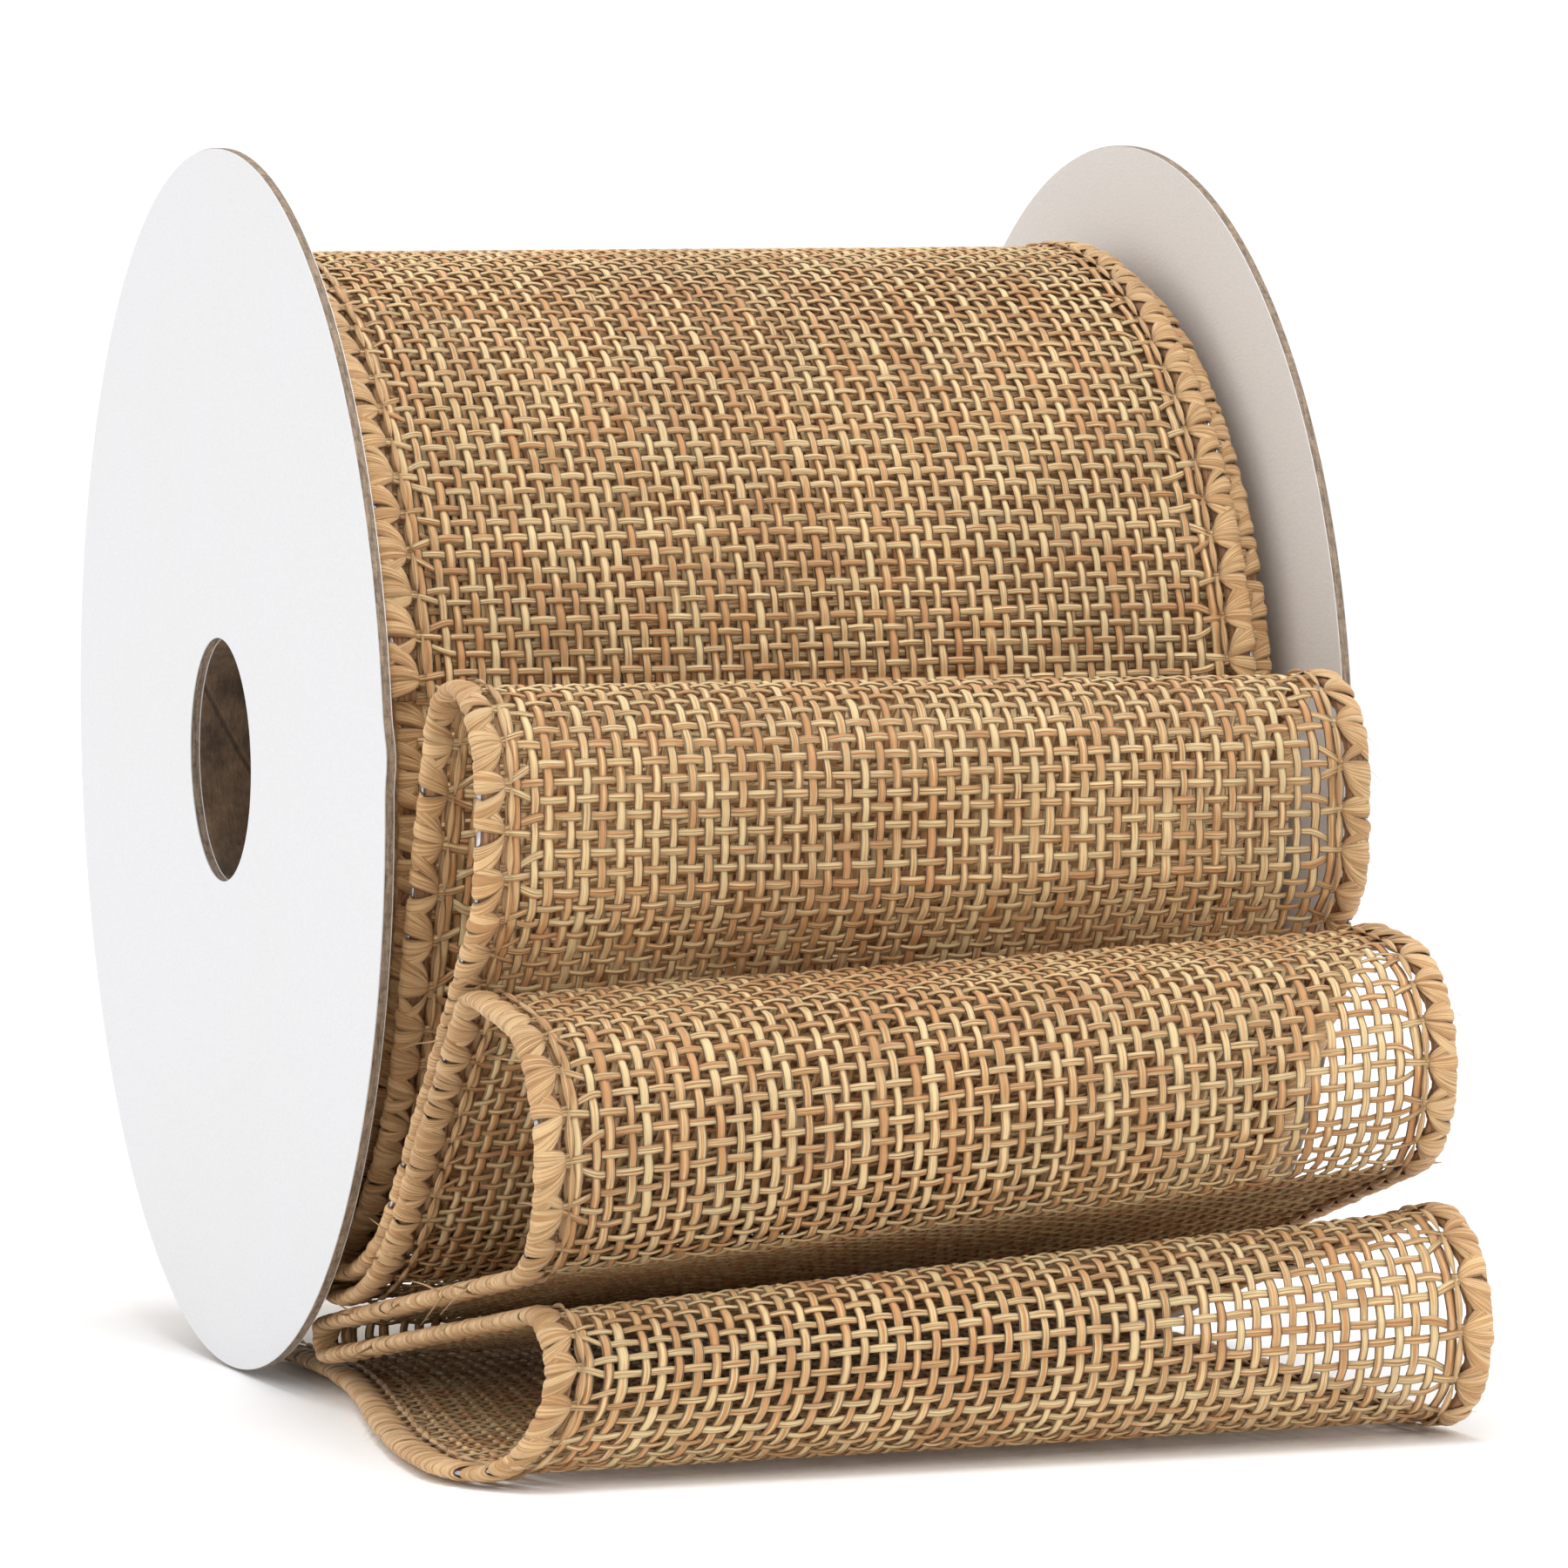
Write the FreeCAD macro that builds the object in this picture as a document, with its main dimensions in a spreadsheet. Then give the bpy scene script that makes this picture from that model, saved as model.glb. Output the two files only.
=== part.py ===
import FreeCAD, Part
import math
import os

import Sketcher

# Card ribbon spool with wide open-weave ribbon, wired along both edges.
# Millimetres. X is the spool axis, the loose tail lies on the -Y side, +Z is up and the
# origin is the middle of the bore, so the spool stands on z = -flange_diameter / 2.

doc = FreeCAD.newDocument("ribbon_spool")
vector = FreeCAD.Vector

# ---------------------------------------------------------------- sizes
sheet = doc.addObject("Spreadsheet::Sheet", "Sizes")
SIZES = [
    ("flange_diameter", 127.0, "outside of both card flanges"),
    ("bore_diameter", 25.4, "hole through flanges and tube"),
    ("spool_width", 101.0, "outer face to outer face"),
    ("board_thickness", 0.8, "grey chipboard disc"),
    ("paper_thickness", 0.1, "white paper on each side of a disc"),
    ("paper_inset", 0.05, "paper edge set back from the board rim"),
    ("tube_diameter", 29.0, "outside of the kraft tube"),
    ("ply_thickness", 0.4, "inner ply of the tube"),
    ("glue_bead", 1.2, "bead where a tube end meets a flange"),
    ("tape_thickness", 0.1, "tape that holds the ribbon start"),
    ("tape_width", 24.0, "along the axis"),
    ("tape_sweep", 70.0, "degrees round the tube"),
    ("ribbon_width", 93.0, "over both wired edges"),
    ("cloth_thickness", 1.0, "two crossing yarns"),
    ("edge_thickness", 2.0, "overlocked edge cord"),
    ("wire_thickness", 0.5, "wire inside the edge cord"),
    ("wound_radius", 51.4, "ribbon wound tight on the tube"),
    ("wound_shift", 1.0, "middle of the wound ribbon along x"),
    ("tail_shift", -1.5, "middle of the last turn and tail along x"),
    # the last turn and the tail, as the ribbon's middle surface
    ("turn_radius", 52.9, "last turn where it lies tight"),
    ("turn_start", 172.0, "degrees, where the last turn begins"),
    ("turn_slack", 4.0, "how far the last turn has sprung open"),
    ("slack_angle", -40.0, "degrees, where it begins to open"),
    ("crest_one_y", -76.3, "top of the first wave"),
    ("crest_one_z", -0.4, ""),
    ("crest_one_r", 9.7, ""),
    ("front_one_y", -78.6, "foot of the first wave's front"),
    ("front_one_z", -8.2, ""),
    ("front_one_r", 6.4, ""),
    ("sag_one_y", -28.5, "first wave running back below the roll"),
    ("sag_one_z", -13.5, ""),
    ("sag_one_r", 37.4, ""),
    ("fold_one_y", -29.0, "fold below the roll, first to second wave"),
    ("fold_one_z", -52.2, ""),
    ("fold_one_r", 1.3, ""),
    ("sag_two_y", -27.5, "second wave leaving that fold"),
    ("sag_two_z", -13.5, ""),
    ("sag_two_r", 40.0, ""),
    ("crest_two_y", -81.5, "top of the second wave"),
    ("crest_two_z", -26.0, ""),
    ("crest_two_r", 6.0, ""),
    ("front_two_y", -91.5, "round front of the second wave"),
    ("front_two_z", -33.5, ""),
    ("front_two_r", 12.0, ""),
    ("fold_two_y", -25.0, "fold below the roll, second to third wave"),
    ("fold_two_z", -58.2, ""),
    ("fold_two_r", 1.7, ""),
    ("crest_three_y", -99.5, "third wave, resting on the ground"),
    ("crest_three_z", -55.35, ""),
    ("crest_three_r", 7.15, ""),
    ("tail_end_y", 6.0, "cut end, flat on the ground below the roll"),
]
size = {}
for row, (name, value, note) in enumerate(SIZES, start=1):
    sheet.set(f"A{row}", name)
    sheet.set(f"B{row}", str(value))
    sheet.set(f"C{row}", note)
    sheet.setAlias(f"B{row}", name)
    size[name] = value
doc.recompute()


def bind(feature, prop, formula):
    """Ties one property to the size table; names in braces are table entries."""
    for name in size:
        formula = formula.replace("{" + name + "}", "Sizes." + name)
    feature.setExpression(prop, formula)


# ---------------------------------------------------------------- round pieces
def cross_sketch(body, label, offset):
    """A sketch across the spool axis; its x is the part's Y and its y the part's Z."""
    sketch = body.newObject("Sketcher::SketchObject", label)
    sketch.AttachmentSupport = (body.Origin.OriginFeatures[5], [""])
    sketch.MapMode = "FlatFace"
    bind(sketch, ".AttachmentOffset.Base.z", offset)
    return sketch


def ring(label, inner, outer, start, length):
    """A flat ring or tube round the axis, from two radii, a start along x and a length."""
    body = doc.addObject("PartDesign::Body", label)
    body.Label = label
    sketch = cross_sketch(body, label + "_section", start)
    for number, radius in enumerate((outer, inner)):
        circle = Part.Circle(vector(0, 0, 0), vector(0, 0, 1), 50 - 10 * number)
        sketch.addGeometry(circle, False)
        sketch.addConstraint(Sketcher.Constraint("Coincident", number, 3, -1, 1))
        place = sketch.addConstraint(Sketcher.Constraint("Radius", number, 50 - 10 * number))
        bind(sketch, f"Constraints[{place}]", radius)
    pad = body.newObject("PartDesign::Pad", label + "_pad")
    pad.Profile = sketch
    bind(pad, "Length", length)
    body.Placement = FreeCAD.Placement()
    return body


BORE = "{bore_diameter} / 2"
DISC = "{flange_diameter} / 2"
PAPER = "{flange_diameter} / 2 - {paper_inset}"
TUBE = "{tube_diameter} / 2"
HALF = "{spool_width} / 2"
FLANGE = "({board_thickness} + 2 * {paper_thickness})"
parts = []

for side, sign in (("left", -1), ("right", 1)):
    # each flange from its outer face inward: paper, board, paper
    if sign < 0:
        outer_face, board, inner_face = (
            f"-{HALF}",
            f"-{HALF} + {{paper_thickness}}",
            f"-{HALF} + {{paper_thickness}} + {{board_thickness}}",
        )
    else:
        outer_face, board, inner_face = (
            f"{HALF} - {{paper_thickness}}",
            f"{HALF} - {{paper_thickness}} - {{board_thickness}}",
            f"{HALF} - {FLANGE}",
        )
    parts.append(ring(f"{side}_outer_paper", BORE, PAPER, outer_face, "{paper_thickness}"))
    parts.append(ring(f"{side}_board", BORE, DISC, board, "{board_thickness}"))
    parts.append(ring(f"{side}_inner_paper", BORE, PAPER, inner_face, "{paper_thickness}"))

INSIDE = f"{HALF} - {FLANGE}"
LENGTH = f"{{spool_width}} - 2 * {FLANGE}"
PLY = f"{BORE} + {{ply_thickness}}"
parts.append(ring("tube_inner_ply", BORE, PLY, f"-({INSIDE})", LENGTH))
parts.append(ring("tube_body", PLY, TUBE, f"-({INSIDE})", LENGTH))


def glue_bead(label, turned):
    """A bead of adhesive in the corner between tube and flange, turned about the axis."""
    body = doc.addObject("PartDesign::Body", label)
    body.Label = label
    sketch = body.newObject("Sketcher::SketchObject", label + "_section")
    sketch.AttachmentSupport = (body.Origin.OriginFeatures[3], [""])
    sketch.MapMode = "FlatFace"
    corner, along, up = vector(48, 14, 0), vector(46, 14, 0), vector(48, 16, 0)
    for start, end in ((corner, along), (along, up), (up, corner)):
        sketch.addGeometry(Part.LineSegment(start, end), False)
    for number in range(3):
        sketch.addConstraint(
            Sketcher.Constraint("Coincident", number, 2, (number + 1) % 3, 1)
        )
    sketch.addConstraint(Sketcher.Constraint("Horizontal", 0))
    sketch.addConstraint(Sketcher.Constraint("Vertical", 2))
    for constraint, formula in (
        (Sketcher.Constraint("DistanceX", -1, 1, 0, 1, 48), INSIDE),
        (Sketcher.Constraint("DistanceY", -1, 1, 0, 1, 14), TUBE),
        (Sketcher.Constraint("DistanceX", 0, 2, 0, 1, 2), "{glue_bead}"),
        (Sketcher.Constraint("DistanceY", 2, 2, 2, 1, 2), "{glue_bead}"),
    ):
        number = sketch.addConstraint(constraint)
        bind(sketch, f"Constraints[{number}]", formula)
    turn = body.newObject("PartDesign::Revolution", label + "_turn")
    turn.Profile = sketch
    turn.ReferenceAxis = (body.Origin.OriginFeatures[0], [""])
    turn.Angle = 360
    body.Placement = FreeCAD.Placement(
        vector(0, 0, 0), FreeCAD.Rotation(vector(0, 0, 1), 180 if turned else 0)
    )
    return body


parts.append(glue_bead("left_glue_bead", True))
parts.append(glue_bead("right_glue_bead", False))


def tape(label):
    """The curved piece of tape that holds the start of the ribbon to the tube."""
    body = doc.addObject("PartDesign::Body", label)
    body.Label = label
    sketch = cross_sketch(body, label + "_section", "{wound_shift} - {tape_width} / 2")
    inner = size["tube_diameter"] / 2
    outer = inner + size["tape_thickness"]
    sweep = math.radians(size["tape_sweep"])
    place = FreeCAD.Vector(0, 0, 0)
    normal = FreeCAD.Vector(0, 0, 1)
    for radius in (inner, outer):
        sketch.addGeometry(
            Part.ArcOfCircle(Part.Circle(place, normal, radius), 0, sweep), False
        )
    for angle in (0, sweep):
        sketch.addGeometry(
            Part.LineSegment(
                vector(inner * math.cos(angle), inner * math.sin(angle), 0),
                vector(outer * math.cos(angle), outer * math.sin(angle), 0),
            ),
            False,
        )
    pad = body.newObject("PartDesign::Pad", label + "_pad")
    pad.Profile = sketch
    bind(pad, "Length", "{tape_width}")
    return body


parts.append(tape("start_tape"))

# ---------------------------------------------------------------- wound ribbon
SHIFT = "{wound_shift}"
START = f"{SHIFT} - {{ribbon_width}} / 2"
EDGE = "{edge_thickness}"
ROLL = "{wound_radius}"
CORE = f"{TUBE} + {{tape_thickness}} + 0.1"
parts.append(ring("wound_left_edge", CORE, ROLL, START, EDGE))
parts.append(ring("wound_cloth", CORE, ROLL, f"{START} + {EDGE}", f"{{ribbon_width}} - 2 * {EDGE}"))
parts.append(ring("wound_right_edge", CORE, ROLL, f"{START} + {{ribbon_width}} - {EDGE}", EDGE))


# ---------------------------------------------------------------- last turn and tail
CLOCKWISE, ANTICLOCKWISE = -1, 1
TURNS = [
    ("crest_one", ANTICLOCKWISE),
    ("front_one", ANTICLOCKWISE),
    ("sag_one", ANTICLOCKWISE),
    ("fold_one", CLOCKWISE),
    ("sag_two", CLOCKWISE),
    ("crest_two", ANTICLOCKWISE),
    ("front_two", ANTICLOCKWISE),
    ("fold_two", CLOCKWISE),
    ("crest_three", ANTICLOCKWISE),
]


def on_circle(centre, radius, angle):
    return (centre[0] + radius * math.cos(angle), centre[1] + radius * math.sin(angle))


def tangent(first, second):
    """Where a band laid round two circles leaves the first and meets the second."""
    (centre, radius, sense), (other, other_radius, other_sense) = first, second
    across, upward = other[0] - centre[0], other[1] - centre[1]
    ratio = (other_sense * other_radius - sense * radius) / math.hypot(across, upward)
    heading = math.atan2(upward, across) - math.asin(ratio)
    left = (-math.sin(heading), math.cos(heading))
    leaves = tuple(c - sense * radius * n for c, n in zip(centre, left))
    meets = tuple(c - other_sense * other_radius * n for c, n in zip(other, left))
    return leaves, meets


def ribbon_path():
    """The ribbon seen from its left edge: arcs (centre, radius, sense, from, to) and lines."""
    slack = math.radians(size["slack_angle"])
    start = math.radians(size["turn_start"])
    tight, gap = size["turn_radius"], size["turn_slack"]
    opened = (-gap * math.cos(slack), -gap * math.sin(slack))
    circles = [(opened, tight + gap, CLOCKWISE)]
    for name, sense in TURNS:
        centre = (size[name + "_y"], size[name + "_z"])
        circles.append((centre, size[name + "_r"], sense))
    ground = (size["tail_end_y"], size["crest_three_z"] - size["crest_three_r"])
    path = [("arc", (0, 0), tight, CLOCKWISE, start, slack)]
    met = slack
    for number, (centre, radius, sense) in enumerate(circles):
        last = number + 1 == len(circles)
        if last:
            leaves, meets = (centre[0], ground[1]), ground
        else:
            leaves, meets = tangent(circles[number], circles[number + 1])
        left = math.atan2(leaves[1] - centre[1], leaves[0] - centre[0])
        while sense * (left - met) < 0:
            left += sense * 2 * math.pi
        path.append(("arc", centre, radius, sense, met, left))
        path.append(("line", leaves, meets))
        if not last:
            after = circles[number + 1][0]
            met = math.atan2(meets[1] - after[1], meets[0] - after[0])
    return path


def shifted(piece, distance):
    """One arc or line moved sideways to its left."""
    if piece[0] == "arc":
        _, centre, radius, sense, begin, end = piece
        return ("arc", centre, radius - sense * distance, sense, begin, end)
    _, begin, end = piece
    length = math.hypot(end[0] - begin[0], end[1] - begin[1])
    left = (-(end[1] - begin[1]) / length, (end[0] - begin[0]) / length)
    move = [distance * n for n in left]
    return ("line", (begin[0] + move[0], begin[1] + move[1]), (end[0] + move[0], end[1] + move[1]))


def ends(piece):
    if piece[0] == "arc":
        _, centre, radius, _, begin, end = piece
        return on_circle(centre, radius, begin), on_circle(centre, radius, end)
    return piece[1], piece[2]


def draw(sketch, piece):
    begin, end = ends(piece)
    if piece[0] == "arc":
        _, centre, radius, _, first, last = piece
        circle = Part.Circle(vector(*centre, 0), vector(0, 0, 1), radius)
        sketch.addGeometry(Part.ArcOfCircle(circle, min(first, last), max(first, last)), False)
    else:
        sketch.addGeometry(Part.LineSegment(vector(*begin, 0), vector(*end, 0)), False)


def halves(piece, angle):
    """An arc cut in two at one angle."""
    kind, centre, radius, sense, begin, end = piece
    while sense * (angle - begin) < 0:
        angle += sense * 2 * math.pi
    return (kind, centre, radius, sense, begin, angle), (kind, centre, radius, sense, angle, end)


def band(label, path, thickness, start, width):
    """A strip of even thickness along the path, as wide as asked along x."""
    body = doc.addObject("PartDesign::Body", label)
    body.Label = label
    sketch = cross_sketch(body, label + "_section", start)
    upper = [shifted(piece, thickness / 2) for piece in path]
    lower = [shifted(piece, -thickness / 2) for piece in path]
    for piece in upper + lower:
        draw(sketch, piece)
    draw(sketch, ("line", ends(upper[0])[0], ends(lower[0])[0]))
    draw(sketch, ("line", ends(upper[-1])[1], ends(lower[-1])[1]))
    pad = body.newObject("PartDesign::Pad", label + "_pad")
    pad.Profile = sketch
    bind(pad, "Length", width)
    return body


def cord(label, path, outer, inner, middle):
    """A round cord along the path, hollow where inner isn't empty; middle is its x."""
    body = doc.addObject("PartDesign::Body", label)
    body.Label = label
    spine = cross_sketch(body, label + "_path", "0")
    for piece in path:
        draw(spine, piece)
    radius, begin = path[0][2], path[0][4]
    section = body.newObject("Sketcher::SketchObject", label + "_section")
    section.AttachmentSupport = (body.Origin.OriginFeatures[3], [""])
    section.MapMode = "FlatFace"
    # the section plane holds the spool axis and the first point of the path
    section.AttachmentOffset = FreeCAD.Placement(
        vector(0, 0, 0), FreeCAD.Rotation(vector(1, 0, 0), math.degrees(begin))
    )
    for diameter in filter(None, (outer, inner)):
        circle = Part.Circle(vector(0, radius, 0), vector(0, 0, 1), size[diameter] / 2)
        number = section.addGeometry(circle, False)
        limit = section.addConstraint(
            Sketcher.Constraint("Radius", number, size[diameter] / 2)
        )
        bind(section, f"Constraints[{limit}]", "{" + diameter + "} / 2")
    sweep = body.newObject("PartDesign::AdditivePipe", label + "_sweep")
    sweep.Profile = section
    sweep.Spine = (spine, [f"Edge{n + 1}" for n in range(len(path))])
    bind(body, ".Placement.Base.x", middle)
    return body


path = ribbon_path()
turn = path[:2]
first_fold, second_fold = 1 + 2 * 4, 1 + 2 * 8
fold_in, fold_out = halves(path[first_fold], 0)
next_in, next_out = halves(path[second_fold], 0)
LAID = {
    "last_turn": turn,
    "wave_one": path[2:first_fold] + [fold_in],
    "wave_two": [fold_out] + path[first_fold + 1 : second_fold] + [next_in],
    "wave_three": [next_out] + path[second_fold + 1 :],
}
TAIL_START = "{tail_shift} - {ribbon_width} / 2"
for label, stretch in LAID.items():
    parts.append(
        band(
            label,
            stretch,
            size["cloth_thickness"],
            f"{TAIL_START} + {EDGE}",
            f"{{ribbon_width}} - 2 * {EDGE}",
        )
    )
for side, sign in (("left", "-"), ("right", "+")):
    middle = f"{{tail_shift}} {sign} ({{ribbon_width}} - {{edge_thickness}}) / 2"
    parts.append(cord(f"{side}_edge_cord", path, "edge_thickness", "wire_thickness", middle))
    parts.append(cord(f"{side}_edge_wire", path, "wire_thickness", None, middle))

# ---------------------------------------------------------------- check and write
doc.recompute()
faults = []
for item in doc.Objects:
    if {"Invalid", "Error"} & set(item.State):
        faults.append(f"{item.Label}: {item.State}")
for body in parts:
    if body.Shape.isNull() or not body.Shape.isValid() or len(body.Shape.Solids) != 1:
        faults.append(f"{body.Label}: no valid single solid")
if faults:
    raise RuntimeError("; ".join(faults))

os.makedirs("parts", exist_ok=True)
for body in parts:
    body.Shape.exportStep(os.path.join("parts", body.Label + ".step"))
    box = body.Shape.BoundBox
    print(
        f"{body.Label:20s} {body.Shape.Volume:10.1f} mm3  "
        f"x {box.XMin:7.2f} {box.XMax:7.2f}  y {box.YMin:7.2f} {box.YMax:7.2f}  "
        f"z {box.ZMin:7.2f} {box.ZMax:7.2f}"
    )
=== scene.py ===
import math

import bpy
import numpy as np
from bpy.props import FloatProperty, FloatVectorProperty, IntProperty, PointerProperty
from mathutils import Euler, Matrix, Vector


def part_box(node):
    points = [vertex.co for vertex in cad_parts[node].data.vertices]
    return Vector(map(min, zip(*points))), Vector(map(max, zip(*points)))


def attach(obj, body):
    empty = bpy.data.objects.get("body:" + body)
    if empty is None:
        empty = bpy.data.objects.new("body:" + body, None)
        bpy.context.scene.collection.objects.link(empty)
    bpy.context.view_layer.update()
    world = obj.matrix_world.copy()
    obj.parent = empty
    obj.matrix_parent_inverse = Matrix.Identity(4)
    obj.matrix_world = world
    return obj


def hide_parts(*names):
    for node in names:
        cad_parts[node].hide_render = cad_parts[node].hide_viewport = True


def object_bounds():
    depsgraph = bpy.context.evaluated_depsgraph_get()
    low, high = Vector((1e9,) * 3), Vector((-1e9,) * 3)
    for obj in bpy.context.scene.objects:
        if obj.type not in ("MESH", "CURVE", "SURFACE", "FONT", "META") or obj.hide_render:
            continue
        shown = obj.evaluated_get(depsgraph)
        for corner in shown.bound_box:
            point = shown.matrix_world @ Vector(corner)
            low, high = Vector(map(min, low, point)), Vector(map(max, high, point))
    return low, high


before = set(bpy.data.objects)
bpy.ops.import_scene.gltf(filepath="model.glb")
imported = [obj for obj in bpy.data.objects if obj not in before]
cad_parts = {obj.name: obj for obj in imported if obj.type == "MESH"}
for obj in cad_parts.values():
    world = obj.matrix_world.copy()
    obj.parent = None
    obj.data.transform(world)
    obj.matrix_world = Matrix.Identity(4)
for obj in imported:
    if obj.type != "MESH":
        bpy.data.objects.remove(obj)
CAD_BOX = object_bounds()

bl_info = {
    "name": "Ribbon Spool",
    "version": (1, 0, 0),
    "blender": (4, 5, 0),
    "location": "3D View > Sidebar > Ribbon Spool",
    "description": "Weaves the wire-edged ribbon and dresses the paper spool that it is wound on",
    "category": "Object",
}

MM = 0.001
YARN_MAP = "Yarn"        # along the yarn in metres, and once round it from 0 to 1
BAKE_MAP = "OFBake"      # every yarn on a row of its own, for baked colours
CLOCKWISE, COUNTER = -1, 1


def linear(red, green, blue):
    """A screen colour from 0 to 255 as the linear colour that shaders take."""
    def channel(value):
        value /= 255
        return value / 12.92 if value <= 0.04045 else ((value + 0.055) / 1.055) ** 2.4
    return channel(red), channel(green), channel(blue)


def colour(name, description, red, green, blue):
    """A colour setting."""
    return FloatVectorProperty(name=name, description=description, subtype="COLOR", size=3,
                               min=0, max=1, default=linear(red, green, blue))


def length(name, description, millimetres):
    """A length setting, kept in metres."""
    return FloatProperty(name=name, description=description, unit="LENGTH", subtype="DISTANCE",
                         min=0, precision=5, default=millimetres * MM)


# ---------------------------------------------------------------- settings

class RIBBON_PG_cloth(bpy.types.PropertyGroup):
    pitch: length("Yarn pitch", "From one yarn to the next, both ways", 1.75)
    warp_width: length("Warp width", "Width of a flattened yarn along the ribbon", 0.92)
    weft_width: length("Weft width", "Width of a flattened yarn across the ribbon", 0.76)
    yarn_thickness: length("Yarn thickness", "Thickness of a flattened yarn", 0.30)
    crimp: length("Crimp", "How far a yarn rises and sinks at each crossing", 0.15)
    drift: length("Drift", "How far a yarn strays sideways", 0.10)
    steps: IntProperty(name="Steps", description="Pieces of yarn per crossing", min=2, max=8, default=3)
    straw: colour("Straw strands", "The paler strands of each yarn", 243, 214, 160)
    tan: colour("Tan strands", "The deeper strands of each yarn", 213, 156, 101)
    under: colour("Lower layers", "What shows between the yarns of the roll", 204, 157, 110)


class RIBBON_PG_edge(bpy.types.PropertyGroup):
    band: length("Band width", "Width of the overlocked edge", 3.4)
    thickness: length("Band thickness", "Thickness of the overlocked edge", 1.9)
    stitch: length("Stitch length", "From one needle hole to the next", 4.3)
    wire: length("Wire", "Diameter of the wire in the edge", 0.5)
    thread: colour("Thread", "Overlocking thread", 243, 203, 149)
    thread_deep: colour("Deep thread", "Shaded filaments of the thread", 206, 155, 101)
    # The filling is given a darker brown than the yarns: painted shade for the dark gaps between the wraps.
    hole: colour("Filling", "Yarn ends seen between the wraps", 160, 114, 76)


class RIBBON_PG_spool(bpy.types.PropertyGroup):
    paper: colour("Outer paper", "White paper on the outer face of a flange", 226, 226, 228)
    lining: colour("Inner paper", "White paper on the inner face of a flange", 231, 230, 229)
    board: colour("Board", "Cut edge of the greyboard", 140, 122, 104)
    tube: colour("Tube", "Kraft paper of the tube", 104, 82, 62)
    glue: colour("Glue", "Dried glue between tube and flange", 226, 214, 186)
    ring_height: length("Ring", "Height of the ring pressed up by the tube's end", 0.12)
    dent: length("Dent", "Depth of the knock in the left flange's edge", 0.25)


class RIBBON_PG_stage(bpy.types.PropertyGroup):
    lens: FloatProperty(name="Lens", description="Focal length of the camera in millimetres",
                        min=10, max=400, default=177.2)
    floor: colour("Floor", "Colour of the floor", 254, 254, 254)
    sky: FloatProperty(name="Sky", description="Strength of the even light", min=0, max=5, default=1.04)
    key: FloatProperty(name="Key light", description="Power of the large light overhead", unit="POWER",
                       min=0, max=200, default=4.4)


def settings():
    """The four groups of settings, in the order cloth, edge, spool, stage."""
    scene = bpy.context.scene
    return scene.ribbon_cloth, scene.ribbon_edge, scene.ribbon_spool, scene.ribbon_stage


# ---------------------------------------------------------------- the ribbon's course

# Each turn is a circle that the ribbon bends round: centre (y, z), radius and sense, in millimetres.
ROLL_RADIUS = 52.5
LOOSE_RADIUS = 56.9
LOOSE_FROM = math.radians(-40)
TURN_START = math.radians(172)
FLOOR = -62.5
TAIL_END = 6.0
LOOSE_CENTRE = tuple(-(LOOSE_RADIUS - ROLL_RADIUS) * part
                     for part in (math.cos(LOOSE_FROM), math.sin(LOOSE_FROM)))
LEFT_TURNS = [
    ((0.0, 0.0), ROLL_RADIUS, CLOCKWISE),
    (LOOSE_CENTRE, LOOSE_RADIUS, CLOCKWISE),
    ((-76.3, -0.4), 9.7, COUNTER),
    ((-78.6, -8.2), 6.4, COUNTER),
    ((-28.5, -13.5), 37.4, COUNTER),
    ((-29.0, -52.2), 1.3, CLOCKWISE),
    ((-27.5, -13.5), 40.0, CLOCKWISE),
    ((-81.5, -26.0), 6.0, COUNTER),
    ((-91.5, -33.5), 12.0, COUNTER),
    ((-25.0, -58.2), 1.7, CLOCKWISE),
    ((-99.5, -55.35), 7.15, COUNTER),
]
# The waves lean: towards the right edge these turns sit elsewhere.
RIGHT_TURNS = list(LEFT_TURNS)
RIGHT_TURNS[2] = ((-71.8, -1.5), 9.6, COUNTER)
RIGHT_TURNS[3] = ((-74.4, -8.6), 6.4, COUNTER)
RIGHT_TURNS[7] = ((-84.0, -22.6), 6.2, COUNTER)
RIGHT_TURNS[8] = ((-91.0, -28.2), 11.0, COUNTER)
RIGHT_TURNS[10] = ((-99.7, -52.5), 10.0, COUNTER)

WOUND_RADIUS = 51.6 * MM      # middle of the roll's top layer
WOUND_EDGE_RADIUS = 50.45 * MM     # middle of that layer's overlocked edges, pulled down between the flanges
CORE_RADIUS = 50.9 * MM       # what lies under that layer
TUBE_RADIUS = 14.5 * MM
TURNS_ON_ROLL = 36

BORE_RADIUS = 12.7 * MM
RIM_RADIUS = 63.5 * MM
RING_RADIUS = 14.3 * MM       # where the tube's end presses the paper up
DENT_HEIGHT = 2.5 * MM        # of the knock in the left flange's edge, above the axis


def tangent(first, second):
    """Where a belt leaves one turn, and where it meets the next."""
    (centre, radius, sense), (other, other_radius, other_sense) = first, second
    across, upward = other[0] - centre[0], other[1] - centre[1]
    ratio = (other_sense * other_radius - sense * radius) / math.hypot(across, upward)
    heading = math.atan2(upward, across) - math.asin(max(-1, min(1, ratio)))
    left = (-math.sin(heading), math.cos(heading))
    leaves = tuple(c - sense * radius * n for c, n in zip(centre, left))
    meets = tuple(c - other_sense * other_radius * n for c, n in zip(other, left))
    return leaves, meets


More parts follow.
